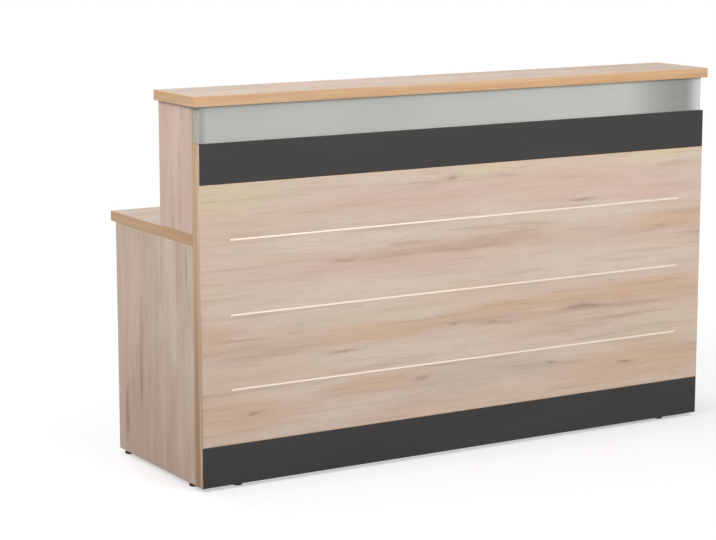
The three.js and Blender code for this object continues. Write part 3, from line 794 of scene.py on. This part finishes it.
def button(bm, place, outward, radius, rise, recess):
    """Adds a shallow round head on a face, narrower at its top, with a round recess if asked."""
    turn = Vector(UPWARD).rotation_difference(Vector(outward)).to_matrix().to_4x4()
    before = set(bm.verts)
    ring = bmesh.ops.create_circle(bm, cap_ends=True, segments=sizes().round_steps // 2, radius=radius)
    top = list({face for corner in ring["verts"] for face in corner.link_faces})
    top = pushed(bm, top, (0, 0, rise * HEAD_WALL))
    top = pushed(bm, top, (0, 0, rise * (1 - HEAD_WALL)))
    bmesh.ops.scale(bm, vec=(HEAD_TOP, HEAD_TOP, 1.0), verts=corners_of(top))
    if recess:
        bmesh.ops.inset_individual(bm, faces=top, thickness=radius * RECESS_INSET)
        pushed(bm, top, (0, 0, -rise * RECESS_DEPTH))
    made = [corner for corner in bm.verts if corner not in before]
    bmesh.ops.transform(bm, matrix=Matrix.Translation(place) @ turn, verts=made)


def screw(bm, place, outward):
    """Adds a screw's head on a face."""
    button(bm, place, outward, sizes().screw_radius, sizes().screw_rise, recess=True)


class DESK_OT_front(Operator):
    """Dress the front: oak backing and facing, charcoal bands with oak taped ends."""

    bl_idname = "desk.front"
    bl_label = "Front"

    def execute(self, context):
        # Both front tapes carry painted shade that deepens towards the floor
        tan = edge_tape("front_tan_tape", colours().tan, upright=True, floor_shade=0.8)
        light = edge_tape("front_light_tape", colours().light_tape, upright=True, floor_shade=0.4)
        dress_board("front_panel", Y, oak("oak_backing", X, Z, shift=61.0), tan)
        dress_board("front_facing", Y, oak("oak_front", X, Z, drifts=FRONT_DRIFTS, knots=FRONT_KNOTS), light)
        charcoal = charcoal_laminate()
        for node in ("upper_band", "plinth_band"):
            bm = copied(node)
            for face in bm.faces:
                face.material_index = int(abs(face.normal.x) > FACING)
            stand_in(node, bm, [charcoal, light])
        return {"FINISHED"}


class DESK_OT_uprights(Operator):
    """Dress the end panels, the risers, the divider and the pedestal's boards."""

    bl_idname = "desk.uprights"
    bl_label = "Uprights"

    def execute(self, context):
        upright_tape = edge_tape("upright_tan_tape", colours().tan, upright=True)
        level_tape = edge_tape("level_tan_tape", colours().tan, upright=False)
        pale_tape = edge_tape("pale_tape", colours().pale_tape, upright=True)
        for node, (shift, ground, drifts, *_) in UPRIGHTS.items():
            board = oak(f"oak_{node}", Z, Y, shift, ground, drifts=drifts, contrast=1.4, spread=1.6)
            # The risers' front edges get the near-white tape, partly painted light against the recess's shade
            front_tape = pale_tape if node in BESIDE_FASCIA else None
            dress_board(node, X, board, upright_tape, front_tape=front_tape)
        dress_board("pedestal_back", Y, oak("oak_pedestal_back", Z, X, shift=29.0), upright_tape)
        dress_board("pedestal_base", Z, oak("oak_pedestal_base", X, Y, shift=41.0), level_tape)
        return {"FINISHED"}


class DESK_OT_tops(Operator):
    """Dress the counter and the worktop, and their honey edge bands."""

    bl_idname = "desk.tops"
    bl_label = "Tops"

    def execute(self, context):
        honey = edge_tape("honey_tape", colours().honey, upright=False)
        # The worktop's band takes a darker copy of the honey tape: painted shade
        shaded_honey = edge_tape("deep_honey_tape", colours().shaded_honey, upright=False)
        for node, band, shift, tape in (
            ("counter_top", "counter_edge_band", 7.0, honey),
            ("worktop", "worktop_edge_band", 53.0, shaded_honey),
        ):
            board = oak(f"oak_{node}", X, Y, shift, "stone", gloss=0.06)
            dress_board(node, Z, board, tape, border=False)
            refinished(band, tape)
        return {"FINISHED"}


class DESK_OT_fascia(Operator):
    """Dress the pale fascia and its returns."""

    bl_idname = "desk.fascia"
    bl_label = "Fascia"

    def execute(self, context):
        refinished("fascia_panel", pale_laminate("pale_laminate", colours().pale_grey, corner_shade_share=0.30))
        # The returns take a lit copy of the fascia's laminate: painted light
        side_face = pale_laminate("pale_return_laminate", colours().lit_pale_return, corner_shade_share=0.0)
        for side in SIDES:
            refinished(f"fascia_return_{side}", side_face)
        return {"FINISHED"}


class DESK_OT_strips(Operator):
    """Lay the bright inlay strips, their heads softly rounded."""

    bl_idname = "desk.strips"
    bl_label = "Inlay strips"

    def execute(self, context):
        aluminium = metal("satin_aluminium", colours().aluminium, (6.0, 900.0, 900.0), roughness=0.26)
        for row in STRIPS:
            refinished(f"inlay_strip_{row}", aluminium, sizes().fine_round)
        return {"FINISHED"}


class DESK_OT_glides(Operator):
    """Turn the levelling glides and dress their threaded inserts."""

    bl_idname = "desk.glides"
    bl_label = "Glides"

    def execute(self, context):
        black = plastic("glide_plastic", colours().black, roughness=0.42, specks="zinc")
        zinc = metal("insert_zinc", colours().zinc, (60.0, 60.0, 900.0), roughness=0.30, patches=0.10)
        for node in GLIDES:
            stand_in(node, self.glide(node), [black])
            refinished(node.replace("glide_", "glide_insert_"), zinc)
        return {"FINISHED"}

    def glide(self, node):
        """A pad with a chamfer, a collar and a stem."""
        size = sizes()
        low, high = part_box(node)
        pad = (high.x - low.x) / 2
        pad_top = high.z - size.glide_stem_length
        shoulder = pad_top - size.glide_collar_height
        profile = [
            (0.0, low.z),
            (pad - size.glide_chamfer, low.z), (pad, low.z + size.glide_chamfer), (pad, shoulder),
            (size.glide_collar_radius, shoulder), (size.glide_collar_radius, pad_top),
            (size.glide_stem_radius, pad_top), (size.glide_stem_radius, high.z),
            (0.0, high.z),
        ]
        bm = spun(profile, middle(node, 0.0))
        return softened(bm, size.fitting_round)


class DESK_OT_grommets(Operator):
    """Turn the cable grommets' liners and cut their slotted caps."""

    bl_idname = "desk.grommets"
    bl_label = "Grommets"

    def execute(self, context):
        black = plastic("grommet_plastic", colours().black, roughness=0.38, specks="zinc")
        for side in SIDES:
            liner = f"grommet_liner_{side}"
            cap = f"grommet_cap_{side}"
            stand_in(liner, self.liner(liner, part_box(cap)[0].z), [black])
            stand_in(cap, self.cap(cap), [black])
        return {"FINISHED"}

    def liner(self, node, cap_under):
        """A rim over the worktop and a sleeve in its bore, with a ledge under the cap."""
        size = sizes()
        low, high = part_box(node)
        rim = (high.x - low.x) / 2
        sleeve = size.grommet_bore - size.liner_gap
        inner = sleeve - size.liner_wall
        ledge = inner - size.liner_ledge
        seat = cap_under - size.liner_gap
        under_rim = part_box("worktop")[1].z + size.liner_seat
        profile = [
            (inner, seat), (inner, high.z),
            (rim - size.liner_chamfer, high.z), (rim, high.z - size.liner_chamfer), (rim, under_rim),
            (sleeve, under_rim), (sleeve, low.z), (inner, low.z),
            (inner, seat - 2 * size.liner_ledge), (ledge, seat - size.liner_ledge), (ledge, seat),
            (inner, seat),
        ]
        bm = spun(profile, middle(node, 0.0))
        return softened(bm, size.fine_round)

    def cap(self, node):
        """A disc with a cable slot: the arc of its edge, the slot's sides and the slot's round end."""
        size = sizes()
        low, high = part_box(node)
        disc = (high.x - low.x) / 2
        half = size.slot_radius
        mouth = math.sqrt(disc * disc - half * half)
        steps = size.round_steps
        bm = bmesh.new()
        start = bm.verts.new((-half, mouth, 0.0))
        around = math.tau - 2 * math.asin(half / disc)
        arc = bmesh.ops.spin(bm, geom=[start], cent=(0, 0, 0), axis=UPWARD, angle=around, steps=steps)
        side = bmesh.ops.extrude_vert_indiv(bm, verts=only(bmesh.types.BMVert, arc["geom_last"]))["verts"]
        bmesh.ops.translate(bm, verts=side, vec=(0, size.slot_reach - mouth, 0))
        inmost = (0, size.slot_reach, 0)
        end = bmesh.ops.spin(bm, geom=side, cent=inmost, axis=UPWARD, angle=-math.pi, steps=steps // 2)
        bm.edges.new((*only(bmesh.types.BMVert, end["geom_last"]), start))
        faces = bmesh.ops.edgeloop_fill(bm, edges=bm.edges)["faces"]
        pushed(bm, faces, (0, 0, high.z - low.z))
        bmesh.ops.recalc_face_normals(bm, faces=bm.faces)
        bmesh.ops.translate(bm, verts=bm.verts, vec=middle(node, low.z))
        return softened(bm, size.fine_round)


class DESK_OT_brackets(Operator):
    """Dress the worktop's steel angles and drive their screws."""

    bl_idname = "desk.brackets"
    bl_label = "Brackets"

    def execute(self, context):
        size = sizes()
        zinc = metal("bracket_zinc", colours().zinc, (300.0, 60.0, 60.0), roughness=0.32, patches=0.12)
        screws = bmesh.new()
        for name in BRACKETS:
            node = f"worktop_bracket_{name}"
            refinished(node, zinc, size.fine_round)
            low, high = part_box(node)
            for side in (-size.bracket_spacing / 2, size.bracket_spacing / 2):
                x = middle(node, 0.0).x + side
                screw(screws, (x, low.y + size.bracket_sheet, high.z - size.bracket_drop), (0, 1, 0))
                screw(screws, (x, low.y + size.bracket_drop, high.z - size.bracket_sheet), (0, 0, -1))
        added("bracket_screws", screws, [zinc], "desk", "fitting_steel")
        return {"FINISHED"}


class DESK_OT_drawers(Operator):
    """Dress the drawers: oak fronts, folded steel bodies with their screws, and nylon runners."""

    bl_idname = "desk.drawers"
    bl_label = "Drawers"

    def execute(self, context):
        front = oak("oak_drawer_front", X, Z, shift=71.0)
        tape = edge_tape("drawer_tan_tape", colours().tan, upright=False)
        paint = plastic("grey_powder_coat", colours().grey_paint, roughness=0.40, grit=1100.0, speck=0.06)
        nylon = plastic("runner_nylon", colours().nylon, roughness=0.36, grit=500.0, speck=0.05)
        zinc = metal("drawer_screw_zinc", colours().zinc, (300.0, 60.0, 60.0), roughness=0.32, patches=0.12)
        for name in DRAWERS:
            dress_board(f"drawer_front_{name}", Y, front, tape)
            body = f"drawer_body_{name}"
            refinished(body, paint, sizes().fine_round)
            added(f"drawer_screws_{name}", self.screws(body), [zinc], f"drawer_{name}", "fitting_steel")
            for side in SIDES:
                refinished(f"runner_{name}_{side}", nylon)
        return {"FINISHED"}

    def screws(self, body):
        """Four screws that hold a drawer's front, inside its body."""
        size = sizes()
        low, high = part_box(body)
        inset = size.drawer_screw_inset
        screws = bmesh.new()
        for x in (low.x + 2 * inset, high.x - 2 * inset):
            for z in (low.z + inset, high.z - inset):
                screw(screws, (x, high.y - size.drawer_sheet, z), (0, -1, 0))
        return screws


class DESK_OT_handles(Operator):
    """Bend the drawers' bow handles from round bar."""

    bl_idname = "desk.handles"
    bl_label = "Handles"

    def execute(self, context):
        nickel = metal("satin_nickel", colours().nickel, (30.0, 900.0, 900.0), roughness=0.24)
        for name in DRAWERS:
            node = f"drawer_handle_{name}"
            stand_in(node, self.bar(node), [nickel])
        return {"FINISHED"}

    def bar(self, node):
        """A round bar that rises from the drawer's front, bends, runs along and bends back."""
        low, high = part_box(node)
        radius = (high.z - low.z) / 2
        bend = sizes().handle_bend
        rise = high.y - radius - bend - low.y
        left, right = low.x + radius, high.x - radius
        level = low.z + radius
        bm = bmesh.new()
        foot = Matrix.Translation((left, low.y, level)) @ Matrix.Rotation(-QUARTER, 4, "X")
        sides = sizes().round_steps // 2
        bmesh.ops.create_circle(bm, cap_ends=True, segments=sides, radius=radius, matrix=foot)
        end = pushed(bm, bm.faces[:], (0, rise, 0))
        end = self.turned(bm, end, (left + bend, low.y + rise, level))
        end = pushed(bm, end, (right - left - 2 * bend, 0, 0))
        end = self.turned(bm, end, (right - bend, low.y + rise, level))
        pushed(bm, end, (0, -rise, 0))
        bmesh.ops.recalc_face_normals(bm, faces=bm.faces)
        return bm

    def turned(self, bm, end, centre):
        """Carries the bar's end round a quarter turn."""
        steps = sizes().round_steps // 4
        turn = bmesh.ops.spin(bm, geom=with_edges(end), cent=centre, axis=UPWARD, angle=-QUARTER, steps=steps)
        return only(bmesh.types.BMFace, turn["geom_last"])


class DESK_OT_covers(Operator):
    """Press covers over the cam fittings that join the uprights to the front."""

    bl_idname = "desk.covers"
    bl_label = "Cam covers"

    def execute(self, context):
        size = sizes()
        beige = plastic("cover_plastic", colours().light_tape, roughness=0.40)
        covers = bmesh.new()
        for node, (*_, facing, count) in UPRIGHTS.items():
            low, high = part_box(node)
            x = high.x if facing > 0 else low.x
            y = low.y + size.cover_edge
            first, last = low.z + size.cover_end, high.z - size.cover_end
            for index in range(count):
                z = first + (last - first) * index / (count - 1)
                button(covers, (x, y, z), (facing, 0, 0), size.cover_radius, size.cover_rise, recess=False)
        added("cam_covers", covers, [beige], "desk", "oak_edge")
        return {"FINISHED"}


class DESK_OT_studio(Operator):
    """Set the floor, the softboxes, the sky and the camera."""

    bl_idname = "desk.studio"
    bl_label = "Studio"

    def execute(self, context):
        studio = context.scene.desk_studio
        self.floor()
        self.sky(studio)
        for name, (place, diameter, mirrored) in SOFTBOXES.items():
            self.softbox(name, place, diameter, getattr(studio, name), mirrored)
        self.camera(studio)
        context.scene.view_settings.view_transform = "Standard"
        return {"FINISHED"}

    def floor(self):
        """A pale floor that keeps the shadow near the desk and turns white farther off."""
        bm = bmesh.new()
        bmesh.ops.create_grid(bm, x_segments=1, y_segments=1, size=FLOOR_HALF)
        meshed("studio_floor", bm, [self.paper()])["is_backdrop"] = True

    def paper(self):
        """Floor paper, grey where it lights the desk, and white as it is seen."""
        material, surface, place = started("floor_paper")
        nodes = material.node_tree.nodes
        nodes.remove(surface)
        seen = self.seen(place)
        tint = place.blend(seen, colours().floor_bounce, colours().floor)
        paper = place.node("ShaderNodeBsdfDiffuse", inputs={"Color": tint})
        glow = place.node("ShaderNodeEmission", inputs={"Color": WHITE, "Strength": 1.0})
        far = place.reach().rise(*SHADOW_FADE)
        white = (NEAR_WHITE + far * (1 - NEAR_WHITE)) * seen
        mixed = place.node("ShaderNodeMixShader", inputs={0: white, 1: paper, 2: glow})
        mixed.feed(nodes["Material Output"], "Surface")
        return material

    def seen(self, start):
        """1 where the camera, a reflection or a refraction looks, and 0 for light that only bounces."""
        path = start.node("ShaderNodeLightPath", output="Is Camera Ray")
        look = path.math("MAXIMUM", path.output("Is Glossy Ray"))
        return look.math("MAXIMUM", path.output("Is Transmission Ray"))

    def sky(self, studio):
        """A white sky as it is seen, which lights the desk more dimly."""
        world = bpy.data.worlds.new("studio_sky")
        world.use_nodes = True
        bpy.context.scene.world = world
        background = world.node_tree.nodes["Background"]
        background.inputs["Color"].default_value = WHITE
        seen = self.seen(Shade(world.node_tree))
        (studio.sky + seen * (1.0 - studio.sky)).feed(background, "Strength")

    def softbox(self, name, place, diameter, watts, mirrored):
        """A round lamp aimed at the desk's middle, which shows in reflections if asked."""
        data = bpy.data.lights.new(name, "AREA")
        data.shape = "DISK"
        data.size = diameter
        data.energy = watts
        lamp = linked(name, data)
        lamp.location = place
        lamp.rotation_euler = (LAMP_AIM - Vector(place)).to_track_quat("-Z", "Y").to_euler()
        lamp.visible_glossy = mirrored

    def camera(self, studio):
        """The camera at the photograph's viewing angle."""
        data = bpy.data.cameras.new("photo_camera")
        data.sensor_fit = "HORIZONTAL"
        data.lens = studio.camera_lens
        data.clip_end = CAMERA_REACH
        camera = linked("photo_camera", data)
        camera.location = studio.camera_place
        camera.rotation_euler = (QUARTER - studio.camera_tilt, 0.0, -studio.camera_turn)
        bpy.context.scene.camera = camera


OPERATORS = (
    DESK_OT_front, DESK_OT_uprights, DESK_OT_tops, DESK_OT_fascia, DESK_OT_strips, DESK_OT_glides,
    DESK_OT_grommets, DESK_OT_brackets, DESK_OT_drawers, DESK_OT_handles, DESK_OT_covers, DESK_OT_studio,
)
GROUPS = {"desk_colours": DeskColours, "desk_sizes": DeskSizes, "desk_studio": DeskStudio}


class DESK_PT_sidebar(Panel):
    """The desk's pieces, in the order in which they are made, and its settings."""

    bl_idname = "DESK_PT_sidebar"
    bl_label = "Reception Desk"
    bl_space_type = "VIEW_3D"
    bl_region_type = "UI"
    bl_category = "Desk"

    def draw(self, context):
        """Lists the operators, then the settings, group by group."""
        for operator in OPERATORS:
            self.layout.operator(operator.bl_idname)
        for name, group in GROUPS.items():
            column = self.layout.column(align=True)
            for setting in group.__annotations__:
                column.prop(getattr(context.scene, name), setting)


CLASSES = (*GROUPS.values(), *OPERATORS, DESK_PT_sidebar)


def register():
    """Registers the classes and gives every scene the desk's settings."""
    for item in CLASSES:
        bpy.utils.register_class(item)
    for name, group in GROUPS.items():
        setattr(bpy.types.Scene, name, PointerProperty(type=group))


def unregister():
    """Takes the settings and the classes away again."""
    for name in GROUPS:
        delattr(bpy.types.Scene, name)
    for item in reversed(CLASSES):
        bpy.utils.unregister_class(item)


def main():
    """Makes every piece and the studio."""
    register()
    bpy.ops.desk.front()
    bpy.ops.desk.uprights()
    bpy.ops.desk.tops()
    bpy.ops.desk.fascia()
    bpy.ops.desk.strips()
    bpy.ops.desk.glides()
    bpy.ops.desk.grommets()
    bpy.ops.desk.brackets()
    bpy.ops.desk.drawers()
    bpy.ops.desk.handles()
    bpy.ops.desk.covers()
    bpy.ops.desk.studio()
    boxes = {"cad": CAD_BOX, "visual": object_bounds()}
    {name: [list(corner) for corner in box] for name, box in boxes.items()}


if __name__ == "__main__":
    main()
